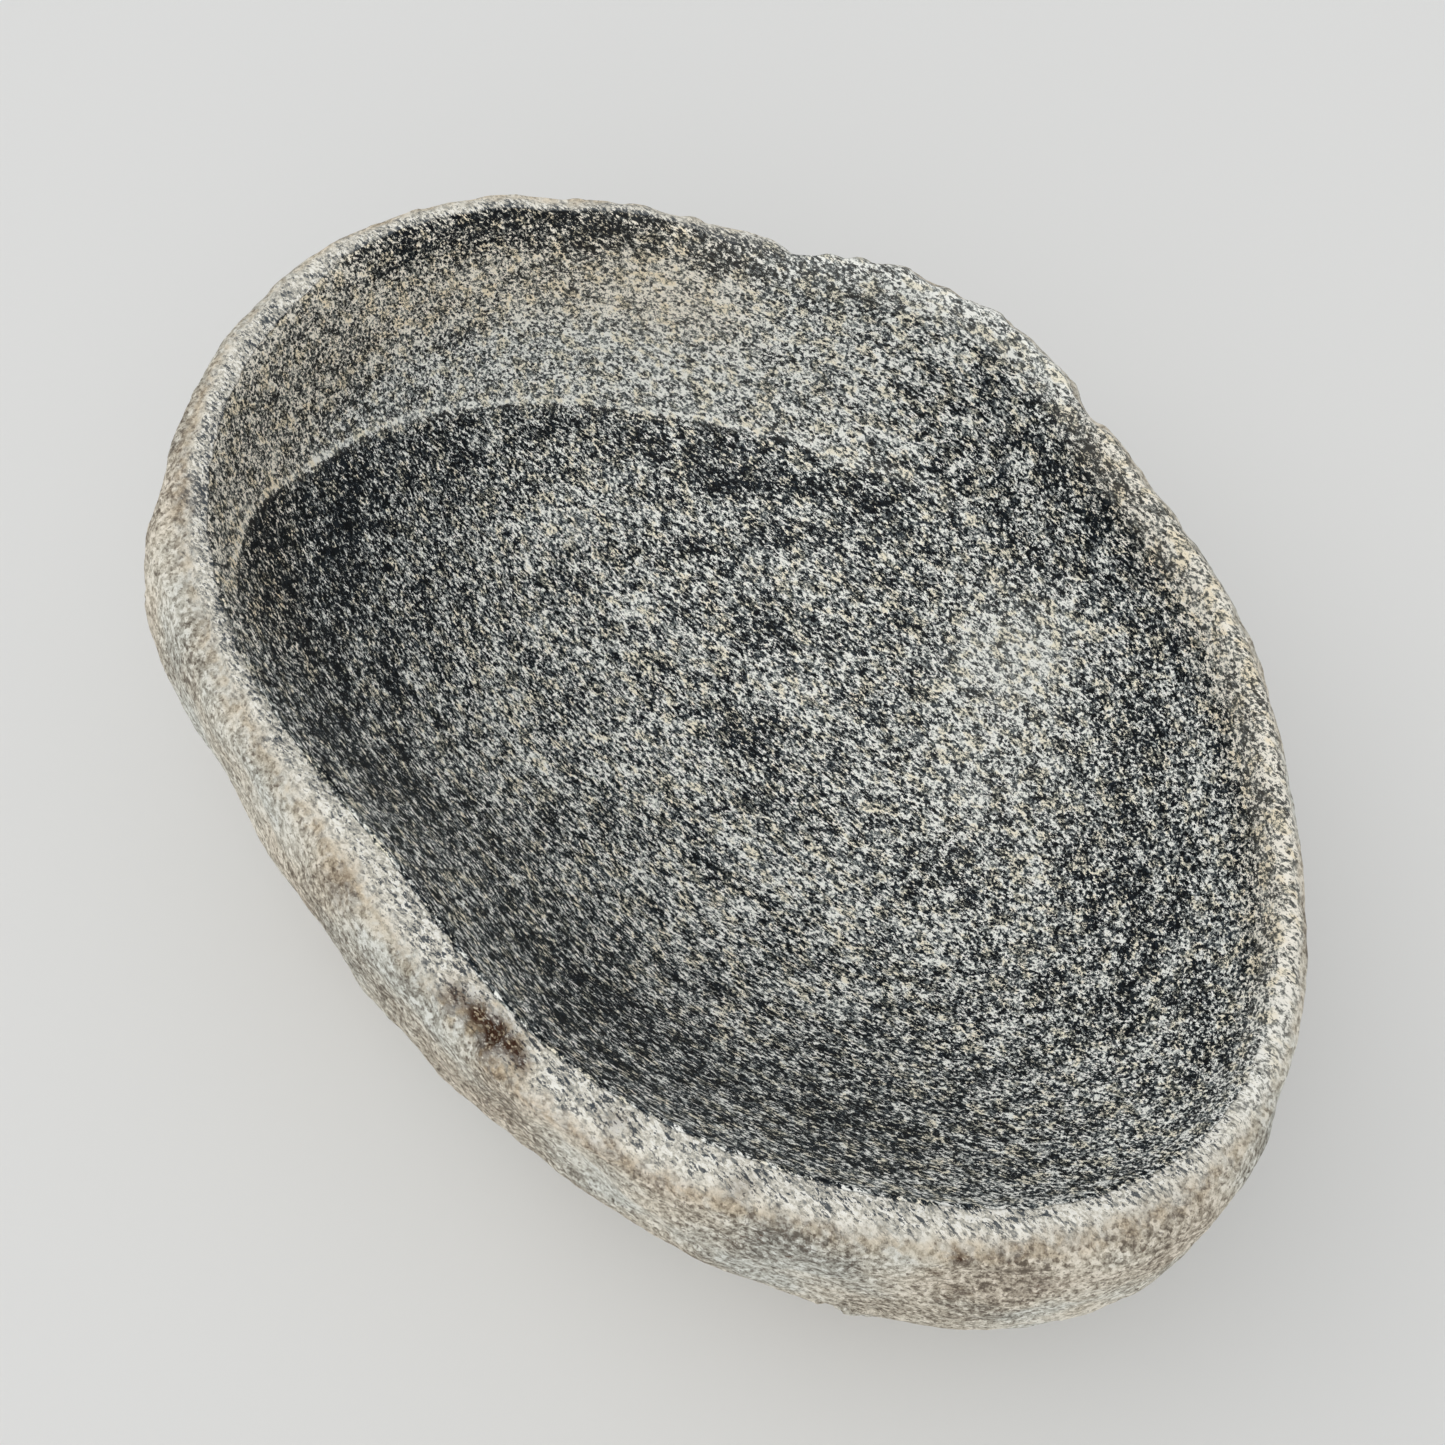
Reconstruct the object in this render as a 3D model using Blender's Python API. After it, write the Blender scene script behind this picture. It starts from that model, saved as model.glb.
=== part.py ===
"""A bowl hollowed out of one natural granite boulder, with a ground rim, a honed hollow and a flat foot.

Run it with: blender --background --python part.py
It is a single piece of stone. Units are metres, +Z is up, +X runs along the bowl's length.
The origin is at the middle of the length and width, on the surface that the foot rests on.
"""

import math

import bmesh
import bpy
import numpy as np

# Overall size, measured over the girth, which is the boulder's widest line
LENGTH = 0.450
WIDTH = 0.316
HEIGHT = 0.146

# The skin: the boulder's outside, from the rim over the girth down to the foot
GIRTH_HEIGHT = 0.085
GIRTH_STANDOUT = 0.009
FOOT_LENGTH = 0.240
FOOT_WIDTH = 0.160
UPPER_FLANK_FULLNESS = 2.0
LOWER_FLANK_FULLNESS = 2.2

# The rim: the ground band between the skin and the hollow
RIM_WIDTH = 0.0095
RIM_DIP = 0.003
RIM_CROWN = 0.0015

# The hollow: a steep wall that meets a rounded dish in a soft crease
HOLLOW_DEPTH = 0.108
WALL_DROP = 0.030
WALL_SLOPE = math.radians(66)
CREASE_SOFTNESS = 0.005
DISH_POWER = 2.4

# The boulder's irregular plan, as lobes round an ellipse: lobes in one turn, share of the radius,
# azimuth of a crest
OUTLINE_LOBES = (
    (1, 0.064, -101),
    (3, 0.045, -24),
    (4, 0.005, 5),
    (5, 0.005, 29),
    (6, 0.011, -10),
    (7, 0.006, -3),
)
# How the girth's stand-out, the rim's width, the rim's dip and the wall's drop vary round the bowl,
# as shares of those sizes
STANDOUT_LOBES = ((1, 0.33, -135), (2, 0.34, 39), (3, 0.29, -8), (4, 0.11, -20))
RIM_WIDTH_LOBES = ((1, 0.36, -99), (2, 0.20, -35), (3, 0.18, 58))
RIM_DIP_LOBES = ((2, 0.30, 150), (3, 0.20, 20))
WALL_DROP_LOBES = ((1, 0.90, 132), (2, 0.36, -27), (3, 0.16, 48), (4, 0.11, -2))
# Bosses and scoops on the flank: azimuth, spread in azimuth, how far it stands proud at the girth
BOSSES = ((222, 10, 0.010), (242, 6, -0.002), (274, 12, 0.004), (342, 16, 0.003))

# How finely the shape is divided
SECTORS = 72
UPPER_FLANK_STEPS = 5
LOWER_FLANK_STEPS = 8
RIM_STEPS = 2
WALL_STEPS = 5
DISH_STEPS = 8
OUTLINE_SAMPLES = 720


def lobes(azimuth, terms):
    """1 plus the sum of the lobes at this azimuth."""
    return 1 + sum(share * np.cos(count * (azimuth - math.radians(crest))) for count, share, crest in terms)


def boss_height(azimuth):
    """How far the bosses stand proud of the girth at this azimuth."""
    total = 0
    for centre, spread, proud in BOSSES:
        away = np.degrees(np.angle(np.exp(1j * (azimuth - math.radians(centre)))))
        total = total + proud * np.exp(-((away / spread) ** 2))
    return total


def ellipse(azimuth, length, width):
    """Radius of an ellipse at this azimuth."""
    return 1 / np.hypot(np.cos(azimuth) / (length / 2), np.sin(azimuth) / (width / 2))


def raw_girth(azimuth):
    """Girth radius before its size and place are set exactly."""
    return ellipse(azimuth, LENGTH, WIDTH) * lobes(azimuth, OUTLINE_LOBES) + boss_height(azimuth)


def fit_to_size():
    """(scale, shift) along X and Y that give the girth its exact length and width, centred on the origin."""
    azimuth = np.linspace(0, 2 * math.pi, OUTLINE_SAMPLES, endpoint=False)
    radius = raw_girth(azimuth)
    plan = np.stack([radius * np.cos(azimuth), radius * np.sin(azimuth)], axis=1)
    low, high = plan.min(axis=0), plan.max(axis=0)
    return np.array([LENGTH, WIDTH]) / (high - low), -(low + high) / 2


def rim_height(azimuth):
    """The rim's crest: it reaches HEIGHT at its highest and dips by about RIM_DIP elsewhere."""
    everywhere = np.linspace(0, 2 * math.pi, OUTLINE_SAMPLES, endpoint=False)
    lowest_dip = lobes(everywhere, RIM_DIP_LOBES).min()
    return HEIGHT - RIM_DIP * (lobes(azimuth, RIM_DIP_LOBES) - lowest_dip)


def hollow_height(radius, rim_inside, wall_drop, crest):
    """The hollow's height at a radius, where the wall starts at rim_inside and drops by wall_drop."""
    wall_foot = rim_inside - wall_drop / math.tan(WALL_SLOPE)
    wall = crest - (rim_inside - radius) * math.tan(WALL_SLOPE)
    lowest = HEIGHT - HOLLOW_DEPTH
    dish = lowest + (HOLLOW_DEPTH - wall_drop) * (radius / wall_foot) ** DISH_POWER
    # A smooth maximum of the two rounds the crease
    return (wall + dish + np.hypot(wall - dish, CREASE_SOFTNESS)) / 2


def section(azimuth):
    """(radius, height) pairs at this azimuth, from under the foot, over the rim, to the hollow's centre."""
    girth = raw_girth(azimuth)
    rim_outside = girth - GIRTH_STANDOUT * lobes(azimuth, STANDOUT_LOBES) - boss_height(azimuth)
    rim_inside = rim_outside - RIM_WIDTH * lobes(azimuth, RIM_WIDTH_LOBES)
    crest = rim_height(azimuth)
    foot = ellipse(azimuth, FOOT_LENGTH, FOOT_WIDTH) * lobes(azimuth, OUTLINE_LOBES)
    points = [(0, 0), (foot / 2, 0)]
    for step in range(LOWER_FLANK_STEPS):
        turn = math.pi / 2 * step / LOWER_FLANK_STEPS
        power = 2 / LOWER_FLANK_FULLNESS
        points.append(
            (
                foot + (girth - foot) * math.sin(turn) ** power,
                GIRTH_HEIGHT * (1 - math.cos(turn) ** power),
            )
        )
    for step in range(UPPER_FLANK_STEPS):
        turn = math.pi / 2 * step / UPPER_FLANK_STEPS
        power = 2 / UPPER_FLANK_FULLNESS
        points.append(
            (
                rim_outside + (girth - rim_outside) * math.cos(turn) ** power,
                GIRTH_HEIGHT + (crest - RIM_CROWN - GIRTH_HEIGHT) * math.sin(turn) ** power,
            )
        )
    for step in range(RIM_STEPS + 1):
        share = step / RIM_STEPS
        crown = RIM_CROWN * (4 * share * (1 - share) - 1)
        points.append((rim_outside + (rim_inside - rim_outside) * share, crest + crown))
    wall_drop = WALL_DROP * lobes(azimuth, WALL_DROP_LOBES)
    wall_foot = rim_inside - wall_drop / math.tan(WALL_SLOPE)
    radii = [rim_inside + (wall_foot - rim_inside) * step / WALL_STEPS for step in range(1, WALL_STEPS + 1)]
    radii += [wall_foot * (1 - step / DISH_STEPS) for step in range(1, DISH_STEPS + 1)]
    points += [(radius, hollow_height(radius, rim_inside, wall_drop, crest - RIM_CROWN)) for radius in radii]
    return points


def granite():
    """Grey granite, honed on the hollow and rough outside."""
    material = bpy.data.materials.new("granite")
    material.use_nodes = True
    shader = material.node_tree.nodes["Principled BSDF"]
    shader.inputs["Base Color"].default_value = (0.30, 0.29, 0.27, 1)
    shader.inputs["Roughness"].default_value = 0.6
    shader.inputs["Metallic"].default_value = 0
    return material


def make_bowl(collection):
    """A UV sphere whose rings become the stations of the bowl's section."""
    rings = len(section(0)) - 1
    scale, shift = fit_to_size()
    shape = bmesh.new()
    bmesh.ops.create_uvsphere(shape, u_segments=SECTORS, v_segments=rings, radius=1)
    for vertex in shape.verts:
        azimuth = math.atan2(vertex.co.y, vertex.co.x)
        station = round(math.acos(max(-1, min(1, -vertex.co.z))) / math.pi * rings)
        radius, height = section(azimuth)[station]
        vertex.co.x = (radius * math.cos(azimuth) + shift[0]) * scale[0]
        vertex.co.y = (radius * math.sin(azimuth) + shift[1]) * scale[1]
        vertex.co.z = height
    bmesh.ops.recalc_face_normals(shape, faces=shape.faces)
    mesh = bpy.data.meshes.new("stone_bowl")
    shape.to_mesh(mesh)
    shape.free()
    mesh.shade_smooth()
    mesh.materials.append(granite())
    bowl = bpy.data.objects.new("stone_bowl", mesh)
    collection.objects.link(bowl)
    return bowl


def main():
    for old in list(bpy.data.objects):
        bpy.data.objects.remove(old)
    collection = bpy.data.collections.new("granite_boulder_bowl")
    bpy.context.scene.collection.children.link(collection)
    make_bowl(collection)


main()
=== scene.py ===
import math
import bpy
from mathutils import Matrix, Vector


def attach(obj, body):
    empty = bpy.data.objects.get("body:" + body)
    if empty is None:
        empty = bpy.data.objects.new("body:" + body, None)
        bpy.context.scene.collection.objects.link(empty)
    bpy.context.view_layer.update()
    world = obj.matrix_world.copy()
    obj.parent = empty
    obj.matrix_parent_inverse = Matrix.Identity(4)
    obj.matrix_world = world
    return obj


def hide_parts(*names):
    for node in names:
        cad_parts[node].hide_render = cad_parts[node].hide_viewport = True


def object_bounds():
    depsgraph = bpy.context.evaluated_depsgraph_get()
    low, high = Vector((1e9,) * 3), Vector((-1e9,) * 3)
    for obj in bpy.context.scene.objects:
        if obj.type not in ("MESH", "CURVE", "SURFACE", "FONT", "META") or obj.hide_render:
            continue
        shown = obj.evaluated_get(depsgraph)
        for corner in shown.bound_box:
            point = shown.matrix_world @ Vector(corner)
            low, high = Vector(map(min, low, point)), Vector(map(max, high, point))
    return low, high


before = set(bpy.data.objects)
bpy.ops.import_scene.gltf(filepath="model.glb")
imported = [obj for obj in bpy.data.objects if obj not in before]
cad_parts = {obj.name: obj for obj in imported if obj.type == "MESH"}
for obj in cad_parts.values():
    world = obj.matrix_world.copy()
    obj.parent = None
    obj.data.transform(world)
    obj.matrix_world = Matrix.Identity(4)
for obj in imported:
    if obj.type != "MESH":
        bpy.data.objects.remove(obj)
cad_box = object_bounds()

# The looks of a bowl hollowed out of one natural granite boulder.
#
# The fine surface is drawn through the points of the CAD solid, then worn and chipped. A node material gives
# it the grain of honed granite in the hollow, ground granite on the rim and weathered skin outside.
#
# Lengths are metres and angles are degrees. A place on the stone is an azimuth about the hollow's centre, and
# a distance along the section from the inner arris, which is the rim's inside edge: negative into the hollow,
# positive over the rim and down the outside.

from types import SimpleNamespace

import bmesh
import bpy
import numpy as np
from mathutils import Vector, noise

NODE = "stone_bowl"
PIECE = "granite_boulder_bowl"

# How finely the stone is drawn: sectors round it, and steps along each stretch of its section
SECTORS = 624
HOLLOW_STEPS = 62
RIM_STEPS = 9
FLANK_STEPS = 76
FOOT_STEPS = 8

# Camera: where it looks from, and what it aims at, measured from the middle of the bowl's top
CAMERA_AZIMUTH = 49.4
CAMERA_ELEVATION = 62.0
CAMERA_DISTANCE = 0.492
CAMERA_AIM = (0.0266, -0.0304)
FIELD_OF_VIEW = 48.0

# How the rock's layers lie: tilts about X and Y, and the azimuth their grain runs along
FOLIATION = (5.0, -4.0, 4.0)

# Sizes in the granite: single minerals, then the clusters and layers they gather in
FELDSPAR = 0.0010
GRAIN = 0.0008
FLAKE = 0.0008
MICA = 0.0011
CLUSTER = 0.0045
LAYER = 0.0090

# Relief in the shape: height, size of its largest features, octaves, seed
SKIN_SWELL = (0.0016, 0.060, 2, 1)
SKIN_LUMPS = (0.00065, 0.009, 3, 3)
RIM_GRAIN = (0.00045, 0.006, 3, 4)
RIM_CRUMBLE = (0.0009, 0.014, 2, 5)
GRINDING = (0.00025, 0.045, 1, 6)
# The skin's facets: height, size, seed
SKIN_FACETS = (0.0013, 0.030, 2)

# Crumbs lost along the rim's edges: how many, the share that the inner edge has, their radius, and their
# depth as a share of the radius
CRUMBS = 230
INNER_SHARE = 0.18
CRUMB_RADIUS = (0.0018, 0.0042)
CRUMB_DEPTH = (0.10, 0.26)
CRUMB_SEED = 11

# Light: two windows, one to the camera's left and one behind it, and an even sky
# Each window: azimuth, elevation, how many degrees across it looks, strength
WINDOWS = (
    (CAMERA_AZIMUTH - 106, 54, 60, 0.60),
    (CAMERA_AZIMUTH - 5, 45, 70, 0.66),
)
WINDOW_COLOUR = (1.0, 0.985, 0.96)
SKY_COLOUR = (0.97, 0.985, 1.0, 1)
SKY_STRENGTH = 0.60

FLOOR_SIZE = 12
FLOOR_COLOUR = (0.80, 0.80, 0.79, 1)
FLOOR_ROUGHNESS = 0.55


# ---------------------------------------------------------------- the CAD solid's surface, drawn finely

def cad_columns():
    """The CAD solid's points as (column, station, axis). A column runs from hollow's centre to foot."""
    shape = bmesh.new()
    shape.from_mesh(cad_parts[NODE].data)
    bmesh.ops.remove_doubles(shape, verts=shape.verts, dist=1e-6)
    raised = [vertex for vertex in shape.verts if vertex.co.z > 1e-3]
    centre = max(raised, key=lambda vertex: len(vertex.link_edges))

    def azimuth(vertex):
        away = vertex.co - centre.co
        return math.atan2(away.y, away.x)

    def turn(vertex, other):
        return abs(math.remainder(azimuth(vertex) - azimuth(other), math.tau))

    columns = []
    for spoke in sorted((edge.other_vert(centre) for edge in centre.link_edges), key=azimuth):
        column = [centre, spoke]
        while column[-1].co.z > 1e-5:
            ahead = [edge.other_vert(column[-1]) for edge in column[-1].link_edges]
            ahead = [vertex for vertex in ahead if vertex not in column[-2:]]
            column.append(min(ahead, key=lambda vertex: turn(vertex, spoke)))
        columns.append([tuple(vertex.co) for vertex in column])
    shape.free()
    return np.array(columns)


def round_the_bowl(columns):
    """The points as (station, sector, axis), each station a smooth closed curve through the columns."""
    waves = np.fft.rfft(columns, axis=0)
    fine = np.fft.irfft(waves, n=SECTORS, axis=0) * SECTORS / len(columns)
    return fine.transpose(1, 0, 2)


def along_the_section(stations, steps):
    """Evenly spaced rows on a smooth curve through these stations, the first and last included."""
    gaps = np.linalg.norm(np.diff(stations, axis=0), axis=2).mean(axis=1)
    at = np.concatenate([[0], np.cumsum(gaps)])
    slopes = np.gradient(stations, at, axis=0)
    wanted = np.linspace(0, at[-1], steps + 1)
    left = np.clip(np.searchsorted(at, wanted, side="right") - 1, 0, len(at) - 2)
    span = gaps[left]
    share = (wanted - at[left]) / span
    share, span = share[:, None, None], span[:, None, None]
    start, end = stations[left], stations[left + 1]
    bend_out = share * (1 - share) ** 2 * span * slopes[left]
    bend_in = share**2 * (1 - share) * span * slopes[left + 1]
    blend = share**2 * (3 - 2 * share)
    return start + (end - start) * blend + bend_out - bend_in


def crease_station(stations):
    """The station where the hollow's dish meets its wall, which is where the section steepens most."""
    steps = np.diff(stations, axis=0)
    steepness = np.arctan2(steps[:, :, 2], np.hypot(steps[:, :, 0], steps[:, :, 1]))
    return int(np.diff(steepness, axis=0).mean(axis=1).argmax()) + 1


def draw_surface():
    """The surface as (row, sector, axis), hollow's centre to foot's centre, and the wall's lengths."""
    stations = round_the_bowl(cad_columns())
    crest = int(stations[:, :, 2].mean(axis=1).argmax())
    inner, outer = crest - 1, crest + 1
    crease = crease_station(stations[: inner + 1])
    wall_length = np.linalg.norm(np.diff(stations[crease : inner + 1], axis=0), axis=2).sum(axis=0)
    foot_centre = np.broadcast_to(stations[-1].mean(axis=0), stations[-1].shape)
    foot = np.linspace(stations[-1], foot_centre, FOOT_STEPS + 1)
    surface = np.concatenate(
        [
            along_the_section(stations[: inner + 1], HOLLOW_STEPS),
            along_the_section(stations[inner : outer + 1], RIM_STEPS)[1:],
            along_the_section(stations[outer:], FLANK_STEPS)[1:],
            foot[1:],
        ]
    )
    return surface, wall_length


def normals_of(rows):
    """Outward unit normals of the surface's points."""
    down = np.gradient(rows, axis=0)
    around = np.roll(rows, -1, axis=1) - np.roll(rows, 1, axis=1)
    normals = np.cross(down, around)
    normals[0] = (0, 0, 1)
    normals[-1] = (0, 0, -1)
    return normals / np.maximum(np.linalg.norm(normals, axis=2, keepdims=True), 1e-12)


def smooth_step(low, high, value):
    share = np.clip((value - low) / (high - low), 0, 1)
    return share**2 * (3 - 2 * share)


rows, wall_length = draw_surface()
inner_row = HOLLOW_STEPS
outer_row = HOLLOW_STEPS + RIM_STEPS
foot_row = outer_row + FLANK_STEPS
steps_along = np.linalg.norm(np.diff(rows, axis=0), axis=2)
along = np.concatenate([np.zeros((1, SECTORS)), np.cumsum(steps_along, axis=0)])
along -= along[inner_row]
rim_width = along[outer_row]
spokes = rows[inner_row] - rows[0]
azimuths = np.degrees(np.arctan2(spokes[:, 1], spokes[:, 0])) % 360


def turn_from(azimuth):
    """How many degrees each sector is from this azimuth."""
    return np.abs((azimuths - azimuth + 180) % 360 - 180)


def place(azimuth, distance):
    """The point of the surface at an azimuth and a distance from the inner arris along the section."""
    sector = int(turn_from(azimuth).argmin())
    row = int(np.abs(along[:, sector] - distance).argmin())
    return rows[row, sector]


def spot(azimuth, distance, radius):
    """1 at a place on the stone, falling off smoothly over this radius."""
    away = np.linalg.norm(rows - place(azimuth, distance), axis=2)
    return np.exp(-((away / radius) ** 2))


def arc(start, end, fade=12.0):
    """1 from one azimuth anticlockwise to another, falling to 0 over a few degrees beyond each."""
    half = ((end - start) % 360) / 2
    return smooth_step(half + fade, half, turn_from(start + half))


def strip(low, high, fade=0.004):
    """1 between two distances from the inner arris, falling to 0 over a few millimetres beyond each."""
    return smooth_step(low - fade, low, along) * smooth_step(high + fade, high, along)


# ---------------------------------------------------------------- wear, chips and roughness in the shape

def relief(points, height, size, count, seed):
    """Smooth offsets of about this height. The largest features are this size; each octave halves them."""
    start = Vector((seed * 7.31, seed * 3.17, seed * 5.53))
    values = [noise.fractal(Vector(point) / size + start, 1.0, 2.0, count) for point in points.reshape(-1, 3)]
    return height * np.array(values).reshape(points.shape[:-1])


def facets(points, height, size, seed):
    """Offsets of about this height that leave flat faces of this size with low ridges between them."""
    start = Vector((seed * 2.71, seed * 4.13, seed * 6.07))
    values = []
    for point in points.reshape(-1, 3):
        position = Vector(point) / size + start
        distances, centres = noise.voronoi(position)
        faces = []
        for distance, centre in zip(distances, centres):
            tilt = noise.cell_vector(centre * 37.0) - Vector((0.5, 0.5, 0.5))
            faces.append(2 * tilt.dot(position - centre) + tilt.x + 2 * (distance - distances[0]))
        values.append(min(faces))
    return height * np.array(values).reshape(points.shape[:-1])


normals = normals_of(rows)
on_skin = smooth_step(0.0, 0.012, along - rim_width)
above_foot = smooth_step(0.0, 0.012, rows[:, :, 2])
skin = slice(outer_row, foot_row + 1)
offset = np.zeros(rows.shape[:2])
offset[skin] += relief(rows[skin], *SKIN_SWELL)
offset[skin] += facets(rows[skin], *SKIN_FACETS)
offset[skin] += relief(rows[skin], *SKIN_LUMPS)
offset *= on_skin * above_foot

# The ground rim is coarse, and its outer edge has crumbled
band = slice(inner_row - 3, outer_row + 8)
edge_of_rim = np.exp(-(((along - rim_width) / 0.004) ** 2))
on_rim = smooth_step(-0.0005, 0.0015, along) * smooth_step(-0.008, 0.0, rim_width + 0.004 - along)
offset[band] += relief(rows[band], *RIM_GRAIN) * on_rim[band]
offset[band] += relief(rows[band], *RIM_CRUMBLE) * edge_of_rim[band]

# The hollow keeps the faint waves of the grinding
hollow = slice(0, inner_row + 1)
in_hollow = smooth_step(0.0, 0.004, -along)
offset[hollow] += relief(rows[hollow], *GRINDING) * in_hollow[hollow]

rows = rows + normals * offset[:, :, None]
rows[:, :, 2] = np.maximum(rows[:, :, 2], 0)

# Scoops and bosses: azimuth, distance from the inner arris, radius, depth. A negative depth stands proud.
SCOOPS = (
    # The spalled corner on the near rim: a main chip with a smaller one on each side
    (290, 0.012, 0.0085, 0.0046),
    (293, 0.006, 0.0034, 0.0030),
    (297, 0.009, 0.0040, 0.0016),
    (285, 0.019, 0.0070, 0.0022),
    # The far rim's scallop, and the low boss beside it
    (161, 0.001, 0.0110, 0.0022),
    (152, 0.006, 0.0100, -0.0012),
    # The step in the far rim's outline
    (84, 0.007, 0.0090, 0.0024),
    (75, 0.007, 0.0050, -0.0010),
    # The shallow bay in the far rim's outline, and the swelling that ends it
    (132, 0.010, 0.0090, 0.0024),
    (120, 0.007, 0.0130, -0.0014),
    (107, 0.007, 0.0080, 0.0014),
    # Dips in the boulder's flank
    (249, 0.042, 0.0180, 0.0022),
    (228, 0.030, 0.0140, 0.0010),
    (300, 0.050, 0.0200, 0.0014),
    (205, 0.040, 0.0160, 0.0016),
    (120, 0.035, 0.0200, 0.0020),
    (20, 0.060, 0.0220, 0.0022),
)
for azimuth, distance, radius, depth in SCOOPS:
    away = np.linalg.norm(rows - place(azimuth, distance), axis=2) / radius
    rows = rows - normals * (depth * np.exp(-(away**4)))[:, :, None]

# Crumbs lost along both edges of the rim
crumbs = np.random.default_rng(CRUMB_SEED)
for _ in range(CRUMBS):
    sector = int(crumbs.integers(SECTORS))
    edge = inner_row if crumbs.random() < INNER_SHARE else outer_row
    radius = crumbs.uniform(*CRUMB_RADIUS)
    depth = radius * crumbs.uniform(*CRUMB_DEPTH)
    window = slice(edge - 6, edge + 7)
    away = np.linalg.norm(rows[window] - rows[edge, sector], axis=2) / radius
    rows[window] -= normals[window] * (depth * np.exp(-(away**2)))[:, :, None]


# ---------------------------------------------------------------- the mesh

def bake_layout():
    """Two maps of the surface on one square, as (row, sector, 2): the hollow and rim, and the outside."""
    length = along - along[0]
    inside_share = length / length[outer_row]
    outside_share = (length[-1] - length) / (length[-1] - length[outer_row])
    turn = np.radians(azimuths)
    east, north = int(np.abs(np.cos(turn) - 1).argmin()), int(np.abs(np.sin(turn) - 1).argmin())
    inside_half = length[outer_row][[east, north]]
    outside_half = (length[-1] - length[outer_row])[[east, north]]
    margin = 0.02
    scale = (1 - 3 * margin) / (2 * (inside_half[1] + outside_half[1]))
    direction = np.stack([np.cos(turn), np.sin(turn)], axis=1)
    inside_middle = np.array([0.5, margin + inside_half[1] * scale])
    outside_middle = np.array([0.5, 1 - margin - outside_half[1] * scale])
    inside = inside_middle + inside_share[:, :, None] * direction * inside_half * scale
    outside = outside_middle + outside_share[:, :, None] * direction * outside_half * scale
    return inside, outside


def stone_mesh():
    """The closed mesh: a fan at the hollow's centre, quads between the rows, and a fan under the foot."""
    last = len(rows) - 1
    points = np.concatenate([rows[0, :1], rows[1:-1].reshape(-1, 3), rows[-1, :1]])

    def index(row, sector):
        if row == 0:
            return 0
        if row == last:
            return len(points) - 1
        return 1 + (row - 1) * SECTORS + sector % SECTORS

    inside, outside = bake_layout()
    faces, places = [], []
    for row in range(last):
        layout = inside if row < outer_row else outside
        for sector in range(SECTORS):
            corners = [(row, sector), (row + 1, sector), (row + 1, sector + 1), (row, sector + 1)]
            if row == 0:
                del corners[3]
            if row + 1 == last:
                del corners[2]
            faces.append([index(*corner) for corner in corners])
            places.extend(layout[corner[0], corner[1] % SECTORS] for corner in corners)
    mesh = bpy.data.meshes.new(PIECE)
    mesh.from_pydata(points.tolist(), [], faces)
    layer = mesh.uv_layers.new(name="OFBake")
    layer.data.foreach_set("uv", np.array(places, np.float32).ravel())
    mesh.shade_smooth()
    return mesh


def paint(mesh, name, values):
    """Keeps one number for each point of the surface, for the material to read."""
    values = np.broadcast_to(values, along.shape)
    flat = np.concatenate([values[0, :1], values[1:-1].ravel(), values[-1, :1]])
    mesh.attributes.new(name, "FLOAT", "POINT").data.foreach_set("value", flat.astype(np.float32))


# ---------------------------------------------------------------- the granite

def shade(red, green, blue):
    """A linear colour from 8-bit display values."""
    levels = (level / 255 for level in (red, green, blue))
    return tuple(v / 12.92 if v <= 0.04045 else ((v + 0.055) / 1.055) ** 2.4 for v in levels) + (1.0,)


def shader_of(material):
    return material.node_tree.nodes["Principled BSDF"]


class Graph:
    """Adds nodes to a material. An input given as a socket is linked, and any other value is set."""

    def __init__(self, material):
        self.tree = material.node_tree

    def add(self, kind, inputs, output=0, **settings):
        node = self.tree.nodes.new(kind)
        for name, value in settings.items():
            setattr(node, name, value)
        for name, value in inputs.items():
            if isinstance(value, bpy.types.NodeSocket):
                self.tree.links.new(value, node.inputs[name])
            else:
                node.inputs[name].default_value = value
        return node.outputs[output]

    def math(self, operation, first, second=0.0, third=0.0):
        return self.add("ShaderNodeMath", {0: first, 1: second, 2: third}, operation=operation)

    def swing(self, value, weight):
        """value less its middle of 0.5, times a weight."""
        return self.math("MULTIPLY_ADD", value, weight, -0.5 * weight)

    def total(self, *values):
        result = values[0]
        for value in values[1:]:
            result = self.math("ADD", result, value)
        return result

    def between(self, value, low, high, start=0.0, end=1.0):
        """value mapped from low..high to start..end, held at both ends and eased between them."""
        inputs = {0: value, 1: low, 2: high, 3: start, 4: end}
        return self.add("ShaderNodeMapRange", inputs, interpolation_type="SMOOTHSTEP")

    def mix(self, share, first, second, blend="MIX"):
        inputs = {0: share, 6: first, 7: second}
        return self.add("ShaderNodeMix", inputs, output=2, data_type="RGBA", blend_type=blend)

    def noise(self, vector, size, detail=2.0, roughness=0.5):
        inputs = {"Vector": vector, "Scale": 1 / size, "Detail": detail, "Roughness": roughness}
        return self.add("ShaderNodeTexNoise", inputs)

    def cells(self, vector, size):
        """A random colour for each crystal of this size."""
        return self.add("ShaderNodeTexVoronoi", {"Vector": vector, "Scale": 1 / size}, output="Color")

    def separate(self, colour):
        return self.add("ShaderNodeSeparateColor", {"Color": colour})

    def ramp(self, value, stops):
        node = self.tree.nodes.new("ShaderNodeValToRGB")
        elements = node.color_ramp.elements
        while len(elements) < len(stops):
            elements.new(0.5)
        for element, (position, colour) in zip(elements, stops):
            element.position = position
            element.color = colour
        self.tree.links.new(value, node.inputs[0])
        return node.outputs[0]

    def stretch(self, vector, lengths):
        """Coordinates that make features this much longer along the grain, across it and through layers."""
        inputs = {"Vector": vector, "Rotation": [math.radians(turn) for turn in FOLIATION], "Scale": lengths}
        return self.add("ShaderNodeMapping", inputs, vector_type="TEXTURE")

    def attribute(self, name):
        return self.add("ShaderNodeAttribute", {}, output="Fac", attribute_name=name)


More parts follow.
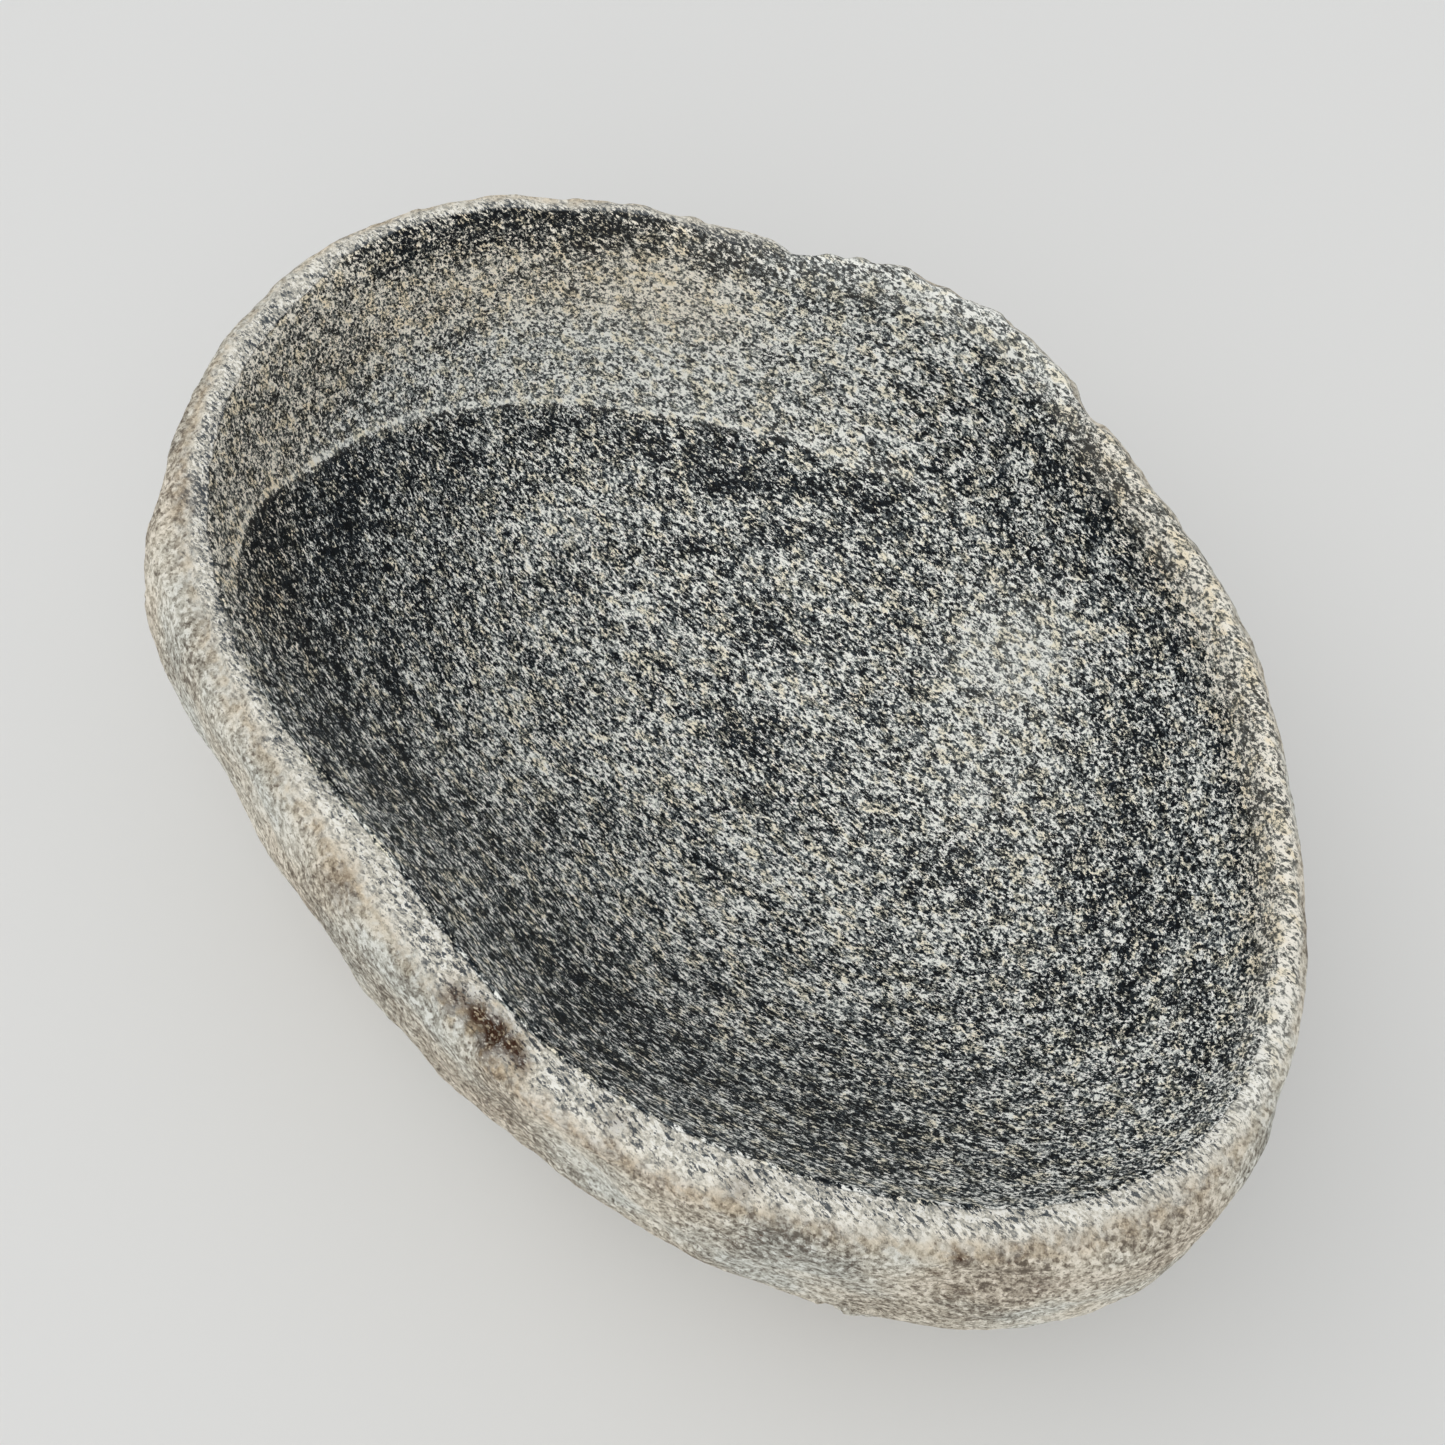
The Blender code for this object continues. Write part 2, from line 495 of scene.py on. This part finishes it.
def crease_tone(g, wobble):
    """How much paler or darker the hollow is painted about the crease: paler on the wall above it, a light
    line along it, and a darker dish below, which is partly polished stone and partly painted shade.
    """
    past_crease = g.math("MULTIPLY_ADD", wobble, 0.003, g.attribute("past_crease"))
    on_wall = g.between(past_crease, -0.0008, 0.0004)
    wall = g.math("MULTIPLY", g.attribute("wall_tone"), on_wall)
    dish = g.math("MULTIPLY", g.attribute("dish_tone"), g.math("SUBTRACT", 1.0, on_wall))
    from_line = g.math("ABSOLUTE", g.math("SUBTRACT", past_crease, 0.0014))
    line = g.math("MULTIPLY", g.attribute("crease_tone"), g.between(from_line, 0.0004, 0.0018, 1.0, 0.0))
    return g.total(wall, dish, line)


def honed_stone(g, rock, wobble):
    """The hollow's smooth grain: grey and white feldspar, black mica, and a pale veil where it was left
    rougher and dusted; the same veil also lays a painted sheen, a painted highlight.
    """
    paler = g.total(rock.paler, crease_tone(g, wobble))
    feldspar = g.ramp(
        g.total(rock.light, g.math("MULTIPLY", paler, 0.8)),
        (
            (0.26, shade(44, 51, 58)),
            (0.39, shade(108, 115, 116)),
            (0.51, shade(190, 193, 188)),
            (0.63, shade(253, 253, 247)),
        ),
    )
    feldspar = g.mix(rock.beige, feldspar, shade(250, 237, 208), "MULTIPLY")
    mica = g.mix(g.between(rock.crystals, 0.2, 0.9), shade(2, 5, 10), shade(26, 34, 41))
    veil = g.attribute("veil")
    share = g.between(g.total(rock.dark, paler), 0.461, 0.483, 1.0, 0.0)
    share = g.math("MULTIPLY", share, g.between(veil, 0.0, 1.0, 1.0, 0.4))
    colour = g.mix(share, feldspar, mica)
    # The veil: a dusting where the stone was left rougher, and a painted highlight where it lays the sheen
    colour = g.mix(g.math("MULTIPLY", veil, 0.55), colour, shade(214, 211, 201))
    return g.mix(g.attribute("warm"), colour, shade(250, 238, 222), "MULTIPLY")


def ground_stone(g, rock):
    """The rim's grain: bruised nearly white, with blue-grey mica showing through."""
    feldspar = g.ramp(
        g.total(rock.light, rock.paler),
        (
            (0.18, shade(140, 142, 140)),
            (0.42, shade(198, 194, 182)),
            (0.60, shade(234, 230, 218)),
            (0.76, shade(252, 250, 242)),
        ),
    )
    share = g.between(g.total(rock.dark, rock.paler), 0.448, 0.478, 0.92, 0.0)
    return g.mix(share, feldspar, shade(62, 70, 78))


def weathered_stone(g, rock):
    """The boulder's skin: bleached and lichen-grey, with brown flecks and fine stained cracks."""
    steep = g.stretch(rock.place, (1.0, 1.0, 1.35))
    patches = g.noise(steep, 0.034, detail=6.0, roughness=0.62)
    lumps = g.noise(steep, 0.0022, detail=4.0, roughness=0.75)
    crumbs = g.separate(g.cells(steep, 0.0015))
    bleached = g.ramp(
        g.total(0.5, g.swing(lumps, 1.1), g.swing(patches, 0.50), g.swing(crumbs, 0.22)),
        (
            (0.28, shade(108, 102, 94)),
            (0.40, shade(164, 159, 149)),
            (0.52, shade(206, 203, 193)),
            (0.66, shade(243, 241, 234)),
        ),
    )
    tint = g.ramp(
        g.noise(rock.place, 0.045, detail=4.0),
        (
            (0.34, shade(250, 241, 231)),
            (0.46, shade(254, 248, 239)),
            (0.54, shade(253, 251, 246)),
            (0.64, shade(245, 248, 248)),
        ),
    )
    colour = g.mix(1.0, bleached, tint, "MULTIPLY")
    fine = g.noise(steep, 0.0013, detail=1.0)
    flecks = g.between(g.total(fine, g.swing(patches, -0.35)), 0.61, 0.66, 0.0, 0.62)
    colour = g.mix(flecks, colour, shade(98, 87, 78))
    wander = g.noise(steep, 0.013, detail=3.0, roughness=0.6)
    cracks = g.between(g.math("ABSOLUTE", g.swing(wander, 1.0)), 0.0, 0.006, 0.75, 0.0)
    cracks = g.math("MULTIPLY", cracks, g.between(patches, 0.42, 0.50, 1.0, 0.0))
    return g.mix(cracks, colour, shade(96, 72, 56))


def rock_grain(g):
    """The coordinates and mineral patterns that every finish of the stone shares."""
    place = g.add("ShaderNodeTexCoord", {}, output="Object")
    along_grain = g.stretch(place, (1.8, 1.0, 1.1))
    crystals = g.separate(g.cells(along_grain, FELDSPAR))
    grains = g.noise(along_grain, GRAIN, detail=2.0, roughness=0.7)
    flakes = g.separate(g.cells(g.stretch(place, (3.2, 1.0, 1.0)), FLAKE))
    mica = g.noise(g.stretch(place, (2.4, 1.0, 1.1)), MICA, detail=3.0, roughness=0.8)
    clusters = g.noise(along_grain, CLUSTER, detail=2.0)
    layers = g.noise(g.stretch(place, (5.0, 3.5, 0.8)), LAYER, detail=3.0)
    light = g.total(0.5, g.swing(crystals, 0.46), g.swing(grains, 1.3), g.swing(clusters, 0.25))
    flecks = g.between(flakes, 0.10, 0.16, -0.10, 0.01)
    dark = g.total(mica, g.swing(clusters, 0.22), g.swing(layers, 0.22), flecks)
    beige = g.between(g.noise(along_grain, 0.0042, detail=2.0), 0.48, 0.64, 0.0, 0.55)
    return SimpleNamespace(
        place=place,
        crystals=crystals,
        grains=grains,
        light=light,
        dark=dark,
        beige=beige,
        paler=g.attribute("paler"),
    )


def granite():
    """One granite in three finishes: honed in the hollow, ground on the rim and weathered outside."""
    material = bpy.data.materials.new("granite")
    material.use_nodes = True
    g = Graph(material)
    rock = rock_grain(g)
    wobble = g.swing(g.noise(rock.place, 0.006, detail=3.0), 1.0)

    # How far a point is beyond the inner arris and the outer arris, in metres, with uneven edges
    past_inner = g.math("MULTIPLY_ADD", wobble, 0.003, g.attribute("past_inner"))
    past_outer = g.math("MULTIPLY_ADD", wobble, 0.018, g.attribute("past_outer"))
    on_skin = g.between(past_outer, -0.005, 0.001)
    outside = g.mix(on_skin, ground_stone(g, rock), weathered_stone(g, rock))
    mottle = g.between(g.noise(rock.place, 0.0045, detail=3.0), 0.38, 0.60)
    shoulder = g.math("MULTIPLY", g.attribute("shoulder"), g.between(rock.light, 0.35, 0.65, 0.10, 0.52))
    outside = g.mix(shoulder, outside, shade(243, 238, 225))
    stain = g.math("MULTIPLY", g.attribute("stain"), mottle)
    outside = g.mix(stain, outside, shade(240, 218, 184), "MULTIPLY")
    rust = g.math("MULTIPLY", g.attribute("rust"), g.between(rock.grains, 0.34, 0.50))
    outside = g.mix(rust, outside, shade(66, 44, 32))
    honed = honed_stone(g, rock, wobble)
    before_outer = g.between(g.attribute("past_outer"), -0.002, 0.002, 1.0, 0.0)
    unground = g.math("MULTIPLY", g.attribute("faded_rim"), before_outer)
    is_outside = g.math("SUBTRACT", g.between(past_inner, -0.0003, 0.0006), unground)
    is_outside = g.math("MAXIMUM", is_outside, 0.0)
    colour = g.mix(is_outside, honed, outside)

    roughness = g.between(rock.dark, 0.42, 0.52, 0.48, 0.62)
    roughness = g.math("MAXIMUM", roughness, g.math("MULTIPLY", is_outside, 0.88))
    pits = g.noise(rock.place, 0.0042, detail=4.0, roughness=0.65)
    relief = g.math("MULTIPLY", pits, g.between(is_outside, 0.0, 1.0, 0.08, 1.0))
    bump = g.add("ShaderNodeBump", {"Height": relief, "Strength": 0.9, "Distance": 0.0016})
    links = material.node_tree.links
    links.new(colour, shader_of(material).inputs["Base Color"])
    links.new(roughness, shader_of(material).inputs["Roughness"])
    links.new(bump, shader_of(material).inputs["Normal"])
    shader_of(material).inputs["Specular IOR Level"].default_value = 0.14
    return material


# ---------------------------------------------------------------- how the stone's tone varies

# Tones in the hollow, painted shade and a painted sheen among them: azimuth, distance from the inner arris,
# radius, how much paler, how much dusting and painted sheen
TONES = (
    # Bruises on the far wall, and to the right of the dish a pale sheen that is a painted highlight over
    # lighter, scratched grains
    (150, -0.034, 0.030, 0.040, 0.12),
    (164, -0.045, 0.026, 0.020, 0.04),
    (61, -0.081, 0.022, 0.060, 0.14),
    (58, -0.066, 0.014, 0.040, 0.06),
    (35, -0.105, 0.030, 0.020, 0.04),
    # Darker at the left end of the dish: painted shade from the left wall, over stone that is darker there
    # too
    (218, -0.055, 0.040, -0.045, 0.00),
    (198, -0.090, 0.034, -0.035, 0.00),
    (240, -0.040, 0.040, -0.045, 0.00),
    # Darker up the wall all round
    (22, -0.048, 0.040, -0.025, 0.00),
    (75, -0.030, 0.045, -0.032, 0.00),
    (190, -0.030, 0.035, -0.020, 0.00),
    (265, -0.050, 0.040, -0.025, 0.00),
    (356, -0.060, 0.045, -0.015, 0.00),
    (300, -0.040, 0.045, -0.062, 0.00),
    (330, -0.050, 0.040, -0.035, 0.00),
)
# Stained spots outside: azimuth, distance from the inner arris, radius, strength
STAINS = (
    # The spalled corner
    (293, 0.005, 0.0040, 1.3),
    (290, 0.006, 0.0036, 1.3),
    (295, 0.0065, 0.0032, 1.2),
    (297, 0.009, 0.0026, 1.0),
    (287, 0.009, 0.0044, 0.8),
    (293, 0.0115, 0.0050, 0.75),
    # Rust spots on the near skin
    (335, 0.0145, 0.0022, 1.0),
    (335, 0.038, 0.0022, 0.9),
    (333, 0.025, 0.0016, 0.8),
    # Faint stains along the rim
    (307, 0.006, 0.0040, 0.4),
    (319, 0.009, 0.0040, 0.4),
    (268, 0.018, 0.0070, 0.5),
    (217, 0.009, 0.0040, 0.4),
)
# The most veil a point may have, from dusting and the painted sheen together
MOST_DUST_AND_SHEEN = 0.8

past_outer = along - rim_width
# The light line runs a little below the bend, and lower towards the far side's middle
past_crease = along + wall_length + 0.0065 * arc(140, 200, 14) + 0.020 * arc(90, 115, 28)
# The far rim is hardly ground. Under its left part a dark crescent is painted shade, below the inner arris
# where the wall's steep top is turned from the light.
far_side = arc(15, 128, 25)
painted_shade_band = arc(122, 178, 8) * strip(-0.009, 0.004, 0.002)


def ridge(distance, middle, width):
    """1 where the distance is at its middle value, falling off smoothly on both sides."""
    return np.exp(-(((distance - middle) / width) ** 2))


def paint_edges(mesh):
    """Where the finishes meet: the inner and outer edges of the rim, and the crease in the hollow."""
    paint(mesh, "past_inner", along - 0.0035 * arc(148, 182, 8))
    paint(mesh, "past_outer", past_outer)
    paint(mesh, "past_crease", past_crease)
    paint(mesh, "faded_rim", far_side)
    paint(mesh, "wall_tone", 0.030 * arc(125, 224, 28) * (1 - painted_shade_band))
    # The dish below the crease is painted darker: partly its polished stone, partly painted shade under the
    # wall
    paint(mesh, "dish_tone", -0.038 * arc(110, 222, 12) * smooth_step(-0.050, -0.008, past_crease))
    paint(mesh, "crease_tone", 0.045 * arc(88, 218, 12) + 0.065 * arc(138, 218, 14))


def paint_tones(mesh):
    """How pale, dusted and warm the hollow and the rim are, with painted shade and a painted sheen among the
    tones.
    """
    far_edge = far_side * strip(-0.006, 0.02, 0.006)
    hollow_wall = arc(125, 224, 28) * smooth_step(-0.002, 0.001, past_crease) * (1 - painted_shade_band)
    crease_line = arc(100, 218, 12) * ridge(past_crease, 0.0018, 0.0024)
    # The crescent's painted shade darkens the top of the hollow's wall here; the far edge is paler
    paler = -0.040 * painted_shade_band + 0.030 * far_edge
    dust_and_sheen = 0.05 * hollow_wall + 0.10 * crease_line + 0.15 * far_edge
    # The painted shade and the painted sheen of the table come in here with the other tones
    for azimuth, distance, radius, pale, dust_and_sheen_amount in TONES:
        paler += pale * spot(azimuth, distance, radius)
        dust_and_sheen += dust_and_sheen_amount * spot(azimuth, distance, radius)
    rim_paler = 0.040 * arc(262, 15, 20) + 0.022 * arc(140, 200, 15)
    # On the rim too the crescent is painted shade, darker
    rim_paler = rim_paler * (1 - painted_shade_band) + 0.05 * far_side - 0.05 * painted_shade_band
    far_left = arc(150, 222, 20) * strip(-0.030, 0.0, 0.020)
    far_right = arc(15, 75, 15) * strip(-0.012, 0.01, 0.010)
    paint(mesh, "paler", np.where(along < 0, paler, rim_paler))
    paint(mesh, "veil", np.clip(dust_and_sheen, 0, MOST_DUST_AND_SHEEN))
    paint(mesh, "warm", np.clip(0.6 * far_left + 0.5 * far_right, 0, 1))


def paint_stains(mesh):
    """The bleached shoulder just inside the rim's outer edge, and the ochre and rust at and beyond it."""
    outer_edge = ridge(past_outer, 0.001, 0.0035)
    stain = 0.42 * outer_edge * (1 - 0.6 * far_side)
    rust = 0.16 * outer_edge * arc(200, 350, 15)
    for azimuth, distance, radius, strength in STAINS:
        rust += strength * spot(azimuth, distance, radius)
        stain += 0.35 * strength * spot(azimuth, distance, 1.8 * radius)
    paint(mesh, "shoulder", (1 - 0.7 * far_side) * ridge(past_outer, -0.0015, 0.0032))
    paint(mesh, "stain", np.clip(stain, 0, 1))
    paint(mesh, "rust", np.clip(rust, 0, 1))


mesh = stone_mesh()
paint_edges(mesh)
paint_tones(mesh)
paint_stains(mesh)
mesh.materials.append(granite())
stone = bpy.data.objects.new(PIECE, mesh)
bpy.context.scene.collection.objects.link(stone)
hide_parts(NODE)
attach(stone, "root")


# ---------------------------------------------------------------- floor, light and camera

def plain_material(name, colour, roughness):
    material = bpy.data.materials.new(name)
    material.use_nodes = True
    shader_of(material).inputs["Base Color"].default_value = colour
    shader_of(material).inputs["Roughness"].default_value = roughness
    return material


def make_floor():
    bpy.ops.mesh.primitive_plane_add(size=FLOOR_SIZE, location=(0, 0, 0))
    floor = bpy.context.object
    floor.name = "floor"
    floor.data.materials.append(plain_material("floor", FLOOR_COLOUR, FLOOR_ROUGHNESS))


def direction(azimuth, elevation):
    """Unit vector towards an azimuth and elevation, where azimuth 0 is the side that looks along +Y."""
    turn, rise = math.radians(azimuth), math.radians(elevation)
    return Vector((math.sin(turn) * math.cos(rise), -math.cos(turn) * math.cos(rise), math.sin(rise)))


def make_windows():
    """Daylight from the side and from behind the camera, each as broad and soft as a large window's."""
    for azimuth, elevation, spread, strength in WINDOWS:
        lamp = bpy.data.lights.new("window", "SUN")
        lamp.energy = strength
        lamp.angle = math.radians(spread)
        lamp.color = WINDOW_COLOUR
        window = bpy.data.objects.new("window", lamp)
        window.rotation_euler = direction(azimuth, elevation).to_track_quat("Z", "Y").to_euler()
        bpy.context.scene.collection.objects.link(window)


def make_world():
    world = bpy.data.worlds.new("studio")
    world.use_nodes = True
    background = world.node_tree.nodes["Background"]
    background.inputs["Color"].default_value = SKY_COLOUR
    background.inputs["Strength"].default_value = SKY_STRENGTH
    bpy.context.scene.world = world


def make_camera():
    low, high = cad_box
    top = Vector(((low[0] + high[0]) / 2, (low[1] + high[1]) / 2, high[2]))
    aim = top + Vector((*CAMERA_AIM, 0))
    back = direction(CAMERA_AZIMUTH, CAMERA_ELEVATION)
    lens = bpy.data.cameras.new("camera")
    lens.angle = math.radians(FIELD_OF_VIEW)
    camera = bpy.data.objects.new("camera", lens)
    camera.location = aim + back * CAMERA_DISTANCE
    camera.rotation_euler = (-back).to_track_quat("-Z", "Y").to_euler()
    bpy.context.scene.collection.objects.link(camera)
    bpy.context.scene.camera = camera


make_floor()
make_world()
make_windows()
make_camera()
bpy.context.scene.view_settings.view_transform = "Standard"
